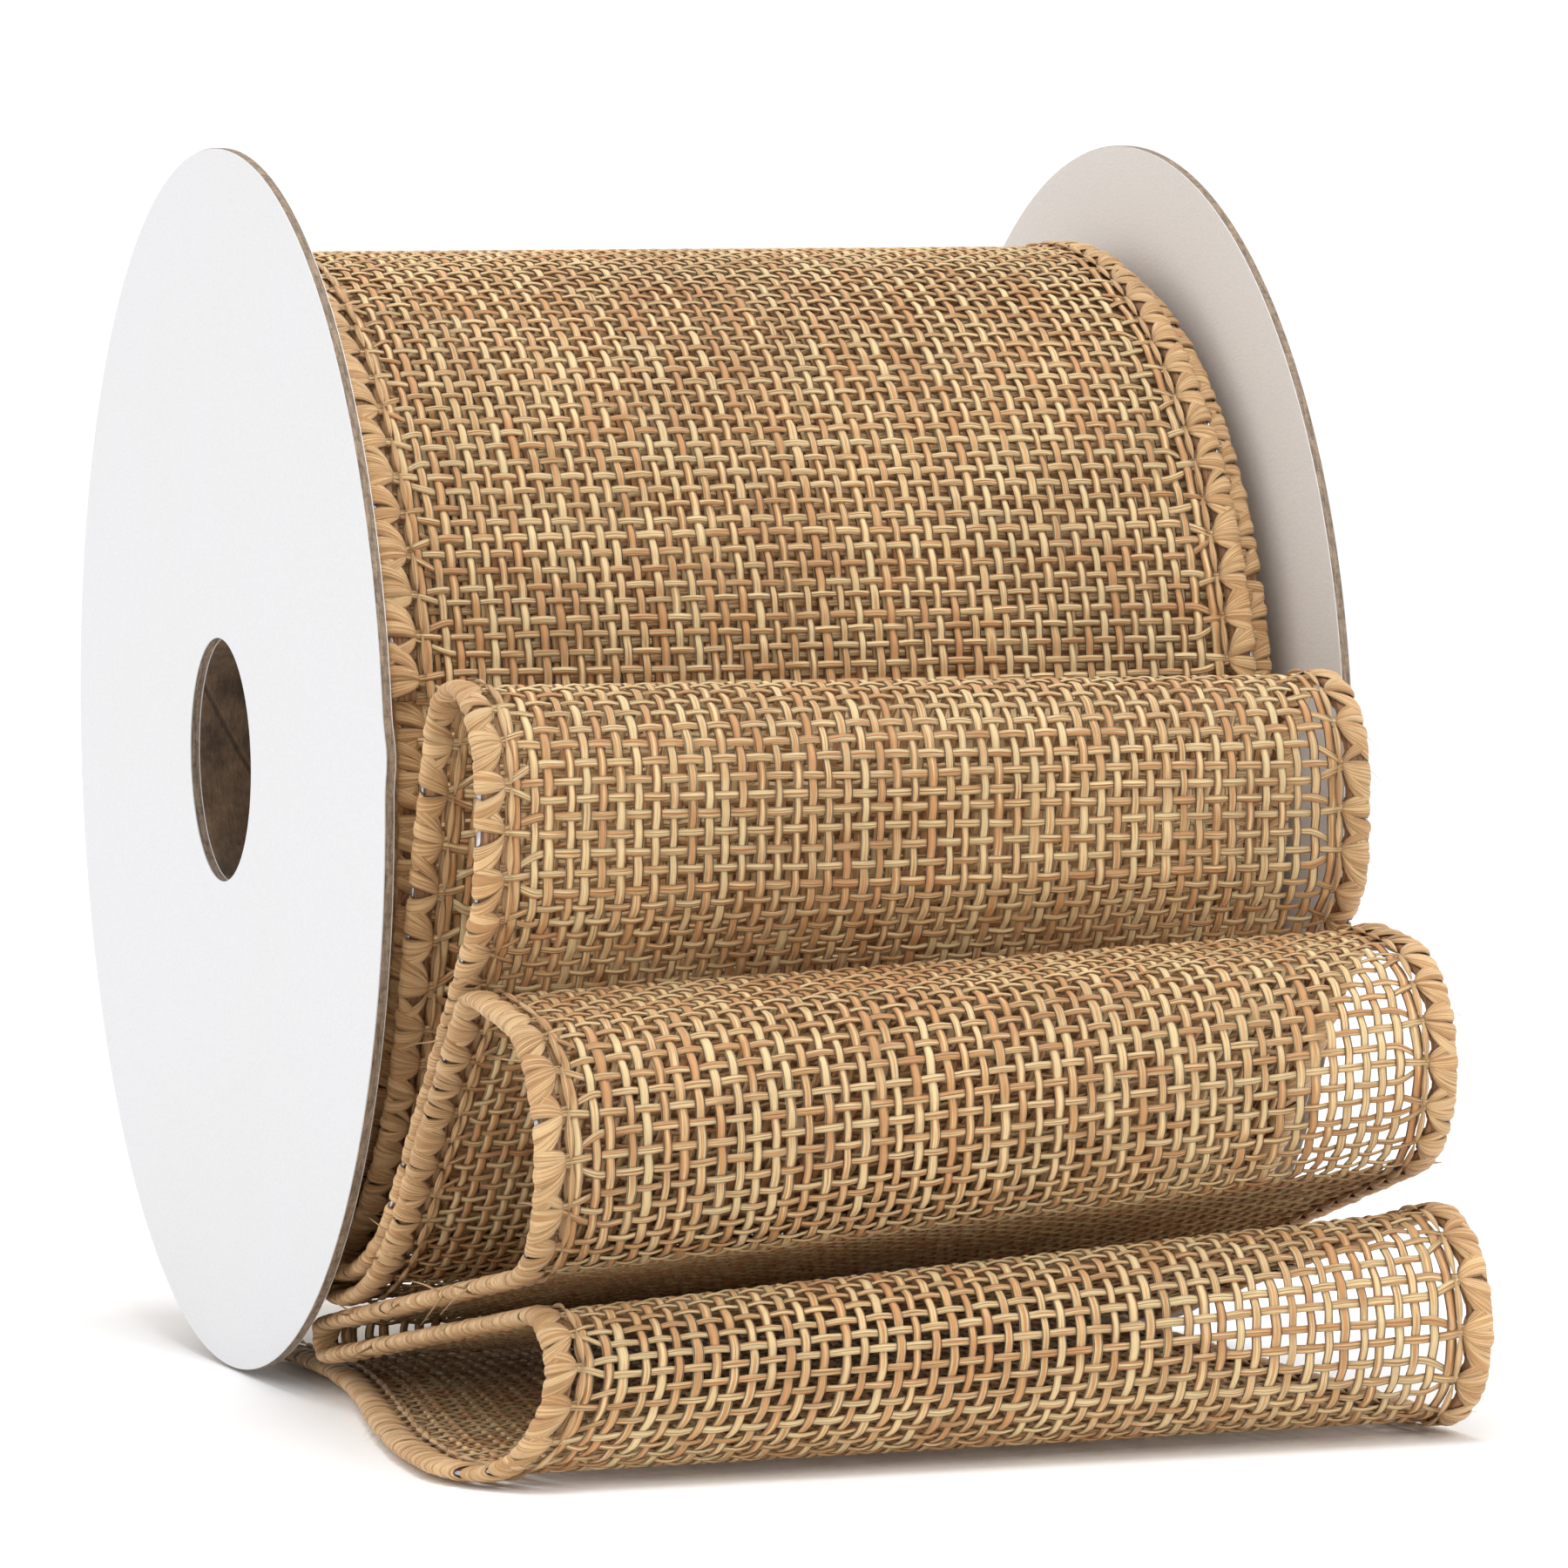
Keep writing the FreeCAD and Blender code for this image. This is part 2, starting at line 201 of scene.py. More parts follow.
def spans(turns):
    """The arcs and straight runs of the ribbon round these turns."""
    centre, radius, _ = turns[0]
    here = (centre[0] + radius * math.cos(TURN_START), centre[1] + radius * math.sin(TURN_START))
    found = []
    for turn, following in zip(turns, turns[1:] + [((TAIL_END, FLOOR), 0.0, COUNTER)]):
        centre, radius, sense = turn
        leaves, meets = tangent(turn, following)
        begin = math.atan2(here[1] - centre[1], here[0] - centre[0])
        finish = math.atan2(leaves[1] - centre[1], leaves[0] - centre[0])
        sweep = sense * ((finish - begin) * sense % math.tau)
        found.append(("arc", centre, radius, begin, sweep, abs(sweep) * radius))
        found.append(("run", leaves, meets, math.dist(leaves, meets)))
        here = meets
    return found


def walk(parts, counts):
    """Points along spans, each divided into its count of steps, in metres."""
    points = []
    for part, count in zip(parts, counts):
        share = np.arange(count) / count
        if part[0] == "arc":
            _, centre, radius, begin, sweep, _ = part
            turned = begin + sweep * share
            points.append(np.column_stack([centre[0] + radius * np.cos(turned),
                                           centre[1] + radius * np.sin(turned)]))
        else:
            start, stop = np.array(part[1]), np.array(part[2])
            points.append(start + (stop - start) * share[:, None])
    points.append(np.array([parts[-1][2]]))
    return np.concatenate(points) * MM


def circle(radius, steps=720):
    """One clockwise turn about the spool's axis, starting at the bottom."""
    turned = np.linspace(-math.pi / 2, -math.pi / 2 - math.tau, steps + 1)
    return radius * np.column_stack([np.cos(turned), np.sin(turned)])


class Surface:
    """The middle of a ribbon: a course for its left edge and one for its right."""

    def __init__(self, left, right, low, high):
        middle = (left + right) / 2
        steps = np.hypot(*np.diff(middle, axis=0).T)
        keep = np.concatenate([[True], steps > 1e-7])
        self.left, self.right, middle = left[keep], right[keep], middle[keep]
        self.along = np.concatenate([[0], np.cumsum(np.hypot(*np.diff(middle, axis=0).T))])
        self.left_out, self.right_out = self.outward(self.left), self.outward(self.right)
        self.low, self.high = low, high
        self.stray = np.zeros_like(self.along)

    @property
    def length(self):
        return self.along[-1]

    @staticmethod
    def outward(course):
        heading = np.gradient(course, axis=0)
        heading /= np.linalg.norm(heading, axis=1)[:, None]
        return np.column_stack([-heading[:, 1], heading[:, 0]])

    def place(self, along, across, lift):
        """Points at a distance along the ribbon, an X across it, and a height off its middle."""
        along, across, lift = np.broadcast_arrays(along, across, lift)
        share = (across - self.low) / (self.high - self.low)
        across = across + (1 - share) * np.interp(along, self.along, self.stray)
        point = []
        for axis in (0, 1):
            def read(course):
                return np.interp(along, self.along, course[:, axis])
            base = read(self.left) * (1 - share) + read(self.right) * share
            out = read(self.left_out) * (1 - share) + read(self.right_out) * share
            point.append(base + lift * out)
        return np.stack([across, *point], axis=-1)


def tail_surface(low, high):
    """The last turn, the three waves and the end on the floor."""
    left, right = spans(LEFT_TURNS), spans(RIGHT_TURNS)
    counts = [max(2, round(part[-1] / 0.35)) for part in left]
    surface = Surface(walk(left, counts), walk(right, counts), low, high)
    # The left edge wanders: inwards under the spool, outwards at the foot of the third wave.
    back = (surface.length - surface.along) / MM
    surface.stray = (3 - 11 * smooth(15, 100, back) + 8 * smooth(98, 124, back)
                     + 1.5 * smooth(480, 560, back)) * MM
    return surface


def wound_surface(radius, low, high):
    """One turn of the roll."""
    course = circle(radius)
    return Surface(course, course, low, high)


# ---------------------------------------------------------------- meshes

class Yarns:
    """Gathers closed tubes, and makes one mesh of them with a row of the bake map for each length."""

    def __init__(self):
        self.points, self.faces, self.maps, self.tones, self.rows = [], [], [], [], []
        self.count = 0

    def add(self, grid, tone):
        """grid holds (tubes, steps, corners) points; tone is one number for each tube."""
        tubes, steps, corners = grid.shape[:3]
        ring, following = grid[:, steps // 2], grid[:, steps // 2 + 1]
        arms = ring - ring[:, :1]
        area = np.cross(arms, np.roll(arms, -1, axis=1)).sum(axis=1)
        if (area * (following - ring).mean(axis=1)).sum() > 0:
            grid = grid[:, :, ::-1]
        number = (np.arange(tubes * steps * corners) + self.count).reshape(tubes, steps, corners)
        around = np.roll(number, -1, axis=2)
        sides = np.stack([number[:, :-1], number[:, 1:], around[:, 1:], around[:, :-1]], axis=-1)
        gaps = np.linalg.norm(np.diff(grid.mean(axis=2), axis=1), axis=-1)
        along = np.concatenate([np.zeros((tubes, 1)), np.cumsum(gaps, axis=1)], axis=1)
        begin = np.broadcast_to(along[:, :-1, None], sides.shape[:3])
        end = np.broadcast_to(along[:, 1:, None], sides.shape[:3])
        turn = np.broadcast_to(np.arange(corners) / corners, sides.shape[:3])
        on = turn + 1 / corners
        chart = np.stack([np.stack([begin, end, end, begin], -1), np.stack([turn, turn, on, on], -1)], -1)
        self.points.append(grid.reshape(-1, 3))
        self.faces.append((sides.reshape(-1, 4), number[:, 0], number[:, -1, ::-1]))
        self.maps.append((chart.reshape(tubes, -1, 2), along[:, -1], corners))
        self.tones.append(np.repeat(tone, steps * corners))
        self.count += tubes * steps * corners

    def bake_rows(self):
        """Places each tube on a row; short tubes share one."""
        longest = max(total.max() for _, total, _ in self.maps)
        placed, row = [], 0
        for chart, total, _ in self.maps:
            share = max(1, int(longest // (total.max() * 1.02)))
            tubes = np.arange(len(chart))
            placed.append((row + tubes // share, (tubes % share) / share, 1 / share))
            row += -(-len(chart) // share)
        return placed, row

    def build(self, name, material):
        placed, rows = self.bake_rows()
        loops, totals, yarn, bake = [], [], [], []
        for (sides, first, last), (chart, total, corners), (row, left, wide) in zip(
                self.faces, self.maps, placed):
            tubes = len(chart)
            ends = np.concatenate([first, last])
            loops += [sides.ravel(), ends.ravel()]
            totals += [np.full(len(sides), 4), np.full(len(ends), corners)]
            turn = np.tile(np.arange(corners) / corners, (tubes, 1))
            caps = [np.stack([np.zeros_like(turn), turn], -1),
                    np.stack([np.broadcast_to(total[:, None], turn.shape), turn[:, ::-1]], -1)]
            yarn += [chart.reshape(-1, 2), caps[0].reshape(-1, 2), caps[1].reshape(-1, 2)]
            for part in (chart, *caps):
                level = left[:, None] + wide * 0.98 * part[..., 0] / total[:, None]
                height = (row[:, None] + 0.06 + 0.88 * part[..., 1]) / rows
                bake.append(np.stack([level, height], -1).reshape(-1, 2))
        mesh = new_mesh(name, np.concatenate(self.points), np.concatenate(loops), np.concatenate(totals))
        for title, chart in ((YARN_MAP, yarn), (BAKE_MAP, bake)):
            layer = mesh.uv_layers.new(name=title)
            layer.uv.foreach_set("vector", np.concatenate(chart).astype(np.float32).ravel())
        mesh.uv_layers.active = mesh.uv_layers[YARN_MAP]
        tone = mesh.attributes.new("tone", "FLOAT", "POINT")
        tone.data.foreach_set("value", np.concatenate(self.tones).astype(np.float32))
        return new_piece(name, mesh, material)


def new_mesh(name, points, loops, totals):
    """A smooth mesh from corner numbers and the number of corners of each face."""
    mesh = bpy.data.meshes.new(name)
    mesh.vertices.add(len(points))
    mesh.vertices.foreach_set("co", points.astype(np.float32).ravel())
    mesh.loops.add(len(loops))
    mesh.loops.foreach_set("vertex_index", loops.astype(np.int32))
    mesh.polygons.add(len(totals))
    starts = np.concatenate([[0], np.cumsum(totals)[:-1]])
    mesh.polygons.foreach_set("loop_start", starts.astype(np.int32))
    mesh.polygons.foreach_set("use_smooth", np.ones(len(totals), dtype=bool))
    mesh.update(calc_edges=True)
    mesh.validate()
    return mesh


def new_piece(name, mesh, material):
    piece = bpy.data.objects.new(name, mesh)
    bpy.context.scene.collection.objects.link(piece)
    mesh.materials.append(material)
    return piece


def lathe(name, profile, steps, material, shift=None, sharp=True):
    """A closed ring about X from a closed outline of (x, radius) points; shift moves points along X."""
    profile = np.asarray(profile)
    turned = np.arange(steps) / steps * math.tau
    x = np.broadcast_to(profile[:, 0], (steps, len(profile))).copy()
    y = np.cos(turned)[:, None] * profile[:, 1]
    z = np.sin(turned)[:, None] * profile[:, 1]
    if shift:
        x += shift(y, z)
    number = np.arange(steps * len(profile)).reshape(steps, -1)
    onward, aside = np.roll(number, -1, axis=0), np.roll(number, -1, axis=1)
    faces = np.stack([number, onward, np.roll(aside, -1, axis=0), aside], axis=-1).reshape(-1, 4)
    mesh = new_mesh(name, np.stack([x, y, z], -1).reshape(-1, 3), faces.ravel(), np.full(len(faces), 4))
    piece = new_piece(name, mesh, material)
    if sharp:
        mesh.set_sharp_from_angle(angle=math.radians(40))
    return piece


def wander(draw, count, along, amplitude, wavelength):
    """Slow random drift along a line, one row for each of count yarns."""
    total = np.zeros((count, len(along)))
    for octave in (1.0, 2.3, 4.7):
        reach = wavelength / octave * draw.uniform(0.8, 1.25, (count, 1))
        total += np.sin(math.tau * (along / reach + draw.uniform(0, 1, (count, 1)))) / octave
    return amplitude * total


def smooth(low, high, value):
    """0 below low, 1 above high, and an even rise between."""
    share = np.clip((value - low) / (high - low), 0, 1)
    return share * share * (3 - 2 * share)


# ---------------------------------------------------------------- materials

def new_material(name):
    material = bpy.data.materials.new(name)
    material.use_nodes = True
    tree = material.node_tree
    return material, tree, tree.nodes["Principled BSDF"]


def node(tree, kind, inputs=(), **options):
    """A shader node; inputs maps a socket's name or number to a value or to another socket."""
    made = tree.nodes.new("ShaderNode" + kind)
    for option, value in options.items():
        setattr(made, option, value)
    for key, value in dict(inputs).items():
        if isinstance(value, bpy.types.NodeSocket):
            tree.links.new(value, made.inputs[key])
        else:
            made.inputs[key].default_value = value
    return made


def calc(tree, operation, *values):
    return node(tree, "Math", dict(enumerate(values)), operation=operation).outputs[0]


def noise(tree, vector, scale, detail=2.0, roughness=0.5):
    made = node(tree, "TexNoise", {"Vector": vector, "Scale": scale, "Detail": detail,
                                   "Roughness": roughness})
    return made.outputs["Fac"]


def spread(tree, value, low, high, start=0.0, stop=1.0):
    """value from start..stop onto low..high, softly and clamped."""
    made = node(tree, "MapRange", {"Value": value, "From Min": start, "From Max": stop,
                                   "To Min": low, "To Max": high}, interpolation_type="SMOOTHSTEP")
    return made.outputs["Result"]


def blend_colours(tree, share, first, second):
    made = node(tree, "Mix", {0: share, 6: first, 7: second}, data_type="RGBA")
    return made.outputs[2]


def shade_by(tree, tint, *shares):
    """A colour made lighter or darker by numbers about 1."""
    for share in shares:
        made = node(tree, "VectorMath", {0: tint, "Scale": share}, operation="SCALE")
        tint = made.outputs[0]
    return tint


def opaque(tint):
    return (*tint, 1.0)


def relief(tree, shader, height, depth, strength=1.0):
    bump = node(tree, "Bump", {"Height": height, "Distance": depth, "Strength": strength})
    tree.links.new(bump.outputs["Normal"], shader.inputs["Normal"])


def fibre_material(name, pale, deep, stripes, filaments, darkest, gloss, plies):
    """Loosely twisted fibres on tubes with a Yarn map: soft stripes of two colours and fine hair lines.
    With plies, a groove also runs between two strands that lie side by side, and the colour is darkened in
    it as painted shade."""
    material, tree, shader = new_material(name)
    chart = node(tree, "UVMap", uv_map=YARN_MAP).outputs["UV"]
    split = node(tree, "SeparateXYZ", {"Vector": chart}).outputs
    tone = node(tree, "Attribute", attribute_name="tone").outputs["Fac"]
    across = calc(tree, "PINGPONG", calc(tree, "MULTIPLY", split["Y"], 2.0), 1.0)
    offset = calc(tree, "MULTIPLY", tone, 57.0)

    def streaks(stretch, crosswise, detail):
        place = node(tree, "CombineXYZ", {
            "X": calc(tree, "MULTIPLY", split["X"], stretch),
            "Y": calc(tree, "MULTIPLY_ADD", across, crosswise, offset)})
        return noise(tree, place.outputs[0], 1.0, detail)

    stripe = calc(tree, "MULTIPLY_ADD", tone, 0.06, streaks(90.0, stripes, 3.0))
    hairs = streaks(260.0, filaments, 3.0)
    tint = blend_colours(tree, spread(tree, stripe, 0.0, 1.0, 0.42, 0.58), opaque(pale), opaque(deep))
    line = spread(tree, hairs, darkest, 1.0, 0.32, 0.48)
    sheen_line = spread(tree, hairs, 1.0, 1.12, 0.54, 0.66)
    height = calc(tree, "ADD", hairs, stripe)
    if plies:
        middle = calc(tree, "MULTIPLY_ADD", streaks(45.0, 0.0, 1.0), 0.5, 0.25)
        apart = calc(tree, "ABSOLUTE", calc(tree, "SUBTRACT", across, middle))
        groove = spread(tree, apart, 0.0, 1.0, 0.0, 0.10)
        # Painted shade: the colour darkens down to 0.62 in the groove between the two strands.
        line = calc(tree, "MULTIPLY", line, spread(tree, groove, 0.62, 1.0))
        height = calc(tree, "MULTIPLY_ADD", groove, 0.9, height)
    where = node(tree, "TexCoord").outputs["Object"]
    patches = spread(tree, noise(tree, where, 55.0, 3.0), 0.92, 1.07, 0.3, 0.7)
    tree.links.new(shade_by(tree, tint, patches, line, sheen_line), shader.inputs["Base Color"])
    tree.links.new(spread(tree, hairs, gloss + 0.2, gloss - 0.06, 0.2, 0.8), shader.inputs["Roughness"])
    shader.inputs["Sheen Weight"].default_value = 0.12
    shader.inputs["Sheen Roughness"].default_value = 0.45
    shader.inputs["Specular IOR Level"].default_value = 0.42
    relief(tree, shader, height, 0.00012)
    return material


def under_material(name, cloth):
    """The layers below the top one, as dim crossing yarns on a near-dark ground."""
    material, tree, shader = new_material(name)
    where = node(tree, "SeparateXYZ", {"Vector": node(tree, "TexCoord").outputs["Object"]}).outputs
    angle = calc(tree, "ARCTAN2", where["Z"], where["Y"])
    sway = noise(tree, node(tree, "TexCoord").outputs["Object"], 90.0)
    lines = []
    for distance in (where["X"], calc(tree, "MULTIPLY", angle, CORE_RADIUS)):
        moved = calc(tree, "MULTIPLY_ADD", sway, cloth.pitch * 0.8, distance)
        saw = calc(tree, "PINGPONG", moved, cloth.pitch / 2)
        lines.append(spread(tree, saw, 1.0, 0.0, cloth.warp_width * 0.32, cloth.warp_width * 0.5))
    yarn = calc(tree, "MAXIMUM", *lines)
    threads = noise(tree, node(tree, "TexCoord").outputs["Object"], 900.0, 3.0)
    lit = blend_colours(tree, spread(tree, threads, 0.0, 1.0, 0.35, 0.65), opaque(cloth.tan),
                        opaque(cloth.straw))
    tint = blend_colours(tree, yarn, opaque(cloth.under), lit)
    tree.links.new(tint, shader.inputs["Base Color"])
    tree.links.new(spread(tree, threads, 0.7, 0.9), shader.inputs["Roughness"])
    relief(tree, shader, calc(tree, "ADD", yarn, threads), 0.0002)
    return material


def paper_material(name, tint, warm):
    """Uncoated white paper with fine fibres and faint cloudiness."""
    material, tree, shader = new_material(name)
    where = node(tree, "TexCoord").outputs["Object"]
    cloud = noise(tree, where, 35.0, 4.0)
    fibre = noise(tree, node(tree, "Mapping", {"Vector": where, "Scale": (1.0, 1.0, 2.6)}).outputs[0],
                  1400.0, 4.0, 0.65)
    base = blend_colours(tree, spread(tree, cloud, 0.0, 1.0, 0.3, 0.7),
                         opaque(tint), opaque(tuple(a * b for a, b in zip(tint, warm))))
    grain = spread(tree, fibre, 0.965, 1.02, 0.25, 0.75)
    tree.links.new(shade_by(tree, base, grain), shader.inputs["Base Color"])
    tree.links.new(spread(tree, fibre, 0.52, 0.68), shader.inputs["Roughness"])
    shader.inputs["Specular IOR Level"].default_value = 0.0
    relief(tree, shader, calc(tree, "ADD", fibre, cloud), 0.00003)
    return material


def board_material(name, tint):
    """Cut greyboard: pressed layers, grey and brown specks, rough."""
    material, tree, shader = new_material(name)
    where = node(tree, "TexCoord").outputs["Object"]
    layers = noise(tree, node(tree, "Mapping", {"Vector": where, "Scale": (9.0, 1.0, 1.0)}).outputs[0],
                   420.0, 4.0, 0.7)
    specks = noise(tree, where, 1500.0, 3.0, 0.7)
    base = blend_colours(tree, spread(tree, layers, 0.0, 1.0, 0.3, 0.7),
                         opaque(tuple(0.62 * part for part in tint)),
                         opaque(tuple(min(1, 1.35 * part) for part in tint)))
    grain = spread(tree, specks, 0.72, 1.15, 0.3, 0.6)
    tree.links.new(shade_by(tree, base, grain), shader.inputs["Base Color"])
    tree.links.new(spread(tree, specks, 0.8, 0.95), shader.inputs["Roughness"])
    relief(tree, shader, calc(tree, "ADD", layers, specks), 0.00012)
    return material


def kraft_material(name, tint):
    """Spiral-wound brown tube: mottled fibres, specks and a helical seam."""
    material, tree, shader = new_material(name)
    place = node(tree, "TexCoord").outputs["Object"]
    where = node(tree, "SeparateXYZ", {"Vector": place}).outputs
    angle = calc(tree, "ARCTAN2", where["Z"], where["Y"])
    helix = calc(tree, "MULTIPLY_ADD", angle, 0.045 / math.tau, where["X"])
    seam = calc(tree, "PINGPONG", helix, 0.0225)
    line = spread(tree, seam, 0.55, 1.0, 0.0, 0.0005)
    mottle = noise(tree, place, 160.0, 5.0, 0.65)
    fibre = noise(tree, node(tree, "Mapping", {"Vector": place, "Scale": (3.0, 1.0, 1.0)}).outputs[0],
                  900.0, 4.0, 0.7)
    base = blend_colours(tree, spread(tree, mottle, 0.0, 1.0, 0.32, 0.68),
                         opaque(tuple(0.5 * part for part in tint)),
                         opaque(tuple(min(1, 1.5 * part) for part in tint)))
    tree.links.new(shade_by(tree, base, line, spread(tree, fibre, 0.75, 1.2, 0.3, 0.7)),
                   shader.inputs["Base Color"])
    tree.links.new(spread(tree, fibre, 0.62, 0.85), shader.inputs["Roughness"])
    relief(tree, shader, calc(tree, "MULTIPLY_ADD", line, 2.0, fibre), 0.00008)
    return material


def glue_material(name, tint):
    """Dried glue: cloudy, slightly glossy, uneven."""
    material, tree, shader = new_material(name)
    where = node(tree, "TexCoord").outputs["Object"]
    lumps = noise(tree, where, 320.0, 3.0)
    base = blend_colours(tree, spread(tree, lumps, 0.0, 1.0, 0.3, 0.7),
                         opaque(tuple(0.7 * part for part in tint)), opaque(tint))
    tree.links.new(base, shader.inputs["Base Color"])
    tree.links.new(spread(tree, lumps, 0.2, 0.4), shader.inputs["Roughness"])
    relief(tree, shader, lumps, 0.0003)
    return material


def wire_material(name):
    """Drawn steel wire with fine lengthwise marks."""
    material, tree, shader = new_material(name)
    place = node(tree, "TexCoord").outputs["Object"]
    marks = noise(tree, node(tree, "Mapping", {"Vector": place, "Scale": (8.0, 1.0, 1.0)}).outputs[0],
                  700.0, 3.0)
    base = blend_colours(tree, spread(tree, marks, 0.0, 1.0, 0.3, 0.7),
                         opaque(linear(150, 150, 156)), opaque(linear(212, 212, 216)))
    tree.links.new(base, shader.inputs["Base Color"])
    tree.links.new(spread(tree, marks, 0.22, 0.42), shader.inputs["Roughness"])
    shader.inputs["Metallic"].default_value = 1.0
    return material


def shared(name, make, *values):
    """A material made once."""
    return bpy.data.materials.get(name) or make(name, *values)


def yarn_look(cloth):
    return shared("burlap_yarn", fibre_material, cloth.straw, cloth.tan, 2.6, 15.0, 0.72, 0.5, True)


def thread_look(edge):
    return shared("overlock_thread", fibre_material, edge.thread, edge.thread_deep, 7.0, 34.0, 0.70, 0.45,
                  False)


def filling_look(edge):
    # The filling's brown and its deep stripes at 0.6 of it are painted shade for what shows between the
    # wraps.
    dim = tuple(0.6 * part for part in edge.hole)
    return shared("edge_filling", fibre_material, edge.hole, dim, 4.0, 14.0, 0.5, 0.6, False)


# ---------------------------------------------------------------- the cloth

LENS = ((-1.0, 0.0), (0.0, 1.0), (1.0, 0.0), (0.0, -1.0))     # a flattened yarn: across, up


def needle_holes(surface, edge):
    """Where the overlocking needle went in, along the ribbon."""
    count = round(surface.length / edge.stitch)
    return (np.arange(count) + 0.5) * surface.length / count


def weave(name, surface, seed):
    """Plain weave over a surface, as one mesh of warp and weft yarns."""
    cloth, edge, _, _ = settings()
    draw = np.random.default_rng(seed)
    pitch = cloth.pitch
    low, high = surface.low + edge.band, surface.high - edge.band
    warps, wefts = round((high - low) / pitch), round(surface.length / pitch)
    warp_x = low + (np.arange(warps) + 0.5) * (high - low) / warps + draw.normal(0, cloth.drift, warps)
    weft_s = (np.arange(wefts) + 0.5) * surface.length / wefts + draw.normal(0, cloth.drift, wefts)
    along = np.linspace(0, surface.length, wefts * cloth.steps + 1)
    tuck = 0.55 * edge.band
    across = np.linspace(surface.low + tuck, surface.high - tuck, (warps + 2) * cloth.steps + 1)
    warp_x = warp_x[:, None] + wander(draw, warps, along, cloth.drift * 0.7, 0.060)
    weft_s = weft_s[:, None] + wander(draw, wefts, across, cloth.drift * 0.9, 0.045)
    weft_s = gathered(weft_s, across, surface, edge)
    weft_s = np.clip(weft_s, cloth.weft_width / 2, surface.length - cloth.weft_width / 2)

    warp_lift = np.empty_like(warp_x)
    for number, row in enumerate(warp_x):
        column = np.searchsorted(across, row.mean())
        crossing = np.interp(along, np.maximum.accumulate(weft_s[:, column]), np.arange(wefts))
        warp_lift[number] = cloth.crimp * np.cos(math.pi * (crossing + number))
    weft_lift = np.empty_like(weft_s)
    for number, row in enumerate(weft_s):
        column = np.searchsorted(along, row.mean()).clip(0, len(along) - 1)
        crossing = np.interp(across, warp_x[:, column], np.arange(warps))
        weft_lift[number] = -cloth.crimp * np.cos(math.pi * (crossing + number))
    flat = 0.6 * edge.band
    weft_lift *= smooth(surface.low + flat, low + pitch, across)
    weft_lift *= smooth(flat - surface.high, pitch - high, -across)

    yarns = Yarns()
    thick = cloth.yarn_thickness / 2
    for centre, lift, line, wide, runs_along in (
            (warp_x, warp_lift, along, cloth.warp_width, True),
            (weft_s, weft_lift, across, cloth.weft_width, False)):
        count = len(centre)
        width = wide / 2 * (draw.normal(1, 0.07, (count, 1)) + wander(draw, count, line, 0.06, 0.02))
        corners = []
        for aside, up in LENS:
            moved, height = centre + aside * width, lift + up * thick
            if runs_along:
                corners.append(surface.place(line[None], moved, height))
            else:
                corners.append(surface.place(moved, line[None], height))
        yarns.add(np.stack(corners, axis=2), draw.normal(0, 0.5, count).clip(-1.3, 1.3))
    return yarns.build(name, yarn_look(cloth))


def gathered(weft_s, across, surface, edge):
    """Draws the ends of the weft into the needle holes."""
    holes = needle_holes(surface, edge)
    nearest = holes[np.abs(weft_s[:, :1] - holes).argmin(axis=1)][:, None]
    inset, reach, closeness = 0.75 * edge.band, 1.3 * edge.band, 0.86
    pull = 1 - smooth(surface.low + inset, surface.low + inset + reach, across)
    pull += smooth(surface.high - inset - reach, surface.high - inset, across)
    return weft_s + closeness * pull * (nearest - weft_s)


# ---------------------------------------------------------------- the overlocked edges

def edge_frame(surface, edge, side):
    """X of the band's middle, and the way towards the cloth, for side -1 (left) or 1 (right)."""
    rim = surface.low if side < 0 else surface.high
    return rim - side * edge.band / 2, -side


# Each wrap: how far it slants on its way out and its half width there, as shares of a stitch, and its bulge.
# Four fan out from a hole on both faces; two more lie under them and fill the corners.
WRAPS = ((0.32, 0.19, 0.28 * MM), (0.62, 0.20, 0.22 * MM), (-0.04, 0.20, 0.24 * MM), (0.46, 0.16, 0.16 * MM),
         (-0.38, 0.20, 0.11 * MM), (0.86, 0.20, 0.09 * MM))
LEAF = ((-1.0, 0.0), (-0.55, 0.8), (0.0, 1.0), (0.55, 0.8), (1.0, 0.0), (0.0, -0.5))
FILLING_INSET = 0.62 * MM     # from the band's side to the filling's, where the wire lies as well


def wraps(yarns, surface, edge, side, draw):
    """Leaf-shaped wraps of thread, each out from a hole on a slant, over the edge and back."""
    middle, inward = edge_frame(surface, edge, side)
    holes = needle_holes(surface, edge)
    stitch, count = surface.length / len(holes), len(holes)
    turned = math.tau * np.linspace(0, 1, 17)
    sunk, narrow = 0.30 * MM, 0.05 * stitch
    for slant, half_width, bulge in WRAPS:
        spreads = narrow + (half_width * stitch - narrow) * np.sin(turned / 2) ** 0.6
        skew = stitch * (slant + draw.normal(0, 0.10, (count, 1))) * np.sin(turned / 2)
        swell = bulge * draw.uniform(0.7, 1.3, (count, 1))
        width = draw.uniform(0.82, 1.12, (count, 1))
        start = holes[:, None] + draw.normal(0, 0.03, (count, 1)) * stitch
        corners = []
        for aside, up in LEAF:
            height = up * swell * (0.45 + 0.55 * np.sin(turned / 2)[None])
            wide = edge.band / 2 - sunk + height
            tall = edge.thickness / 2 - sunk + height
            along = (start + skew + aside * width * spreads).clip(0, surface.length)
            across = middle + inward * wide * np.cos(turned)
            corners.append(surface.place(along, across, tall * np.sin(turned)))
        yarns.add(np.stack(corners, axis=2), draw.normal(0, 0.5, count))


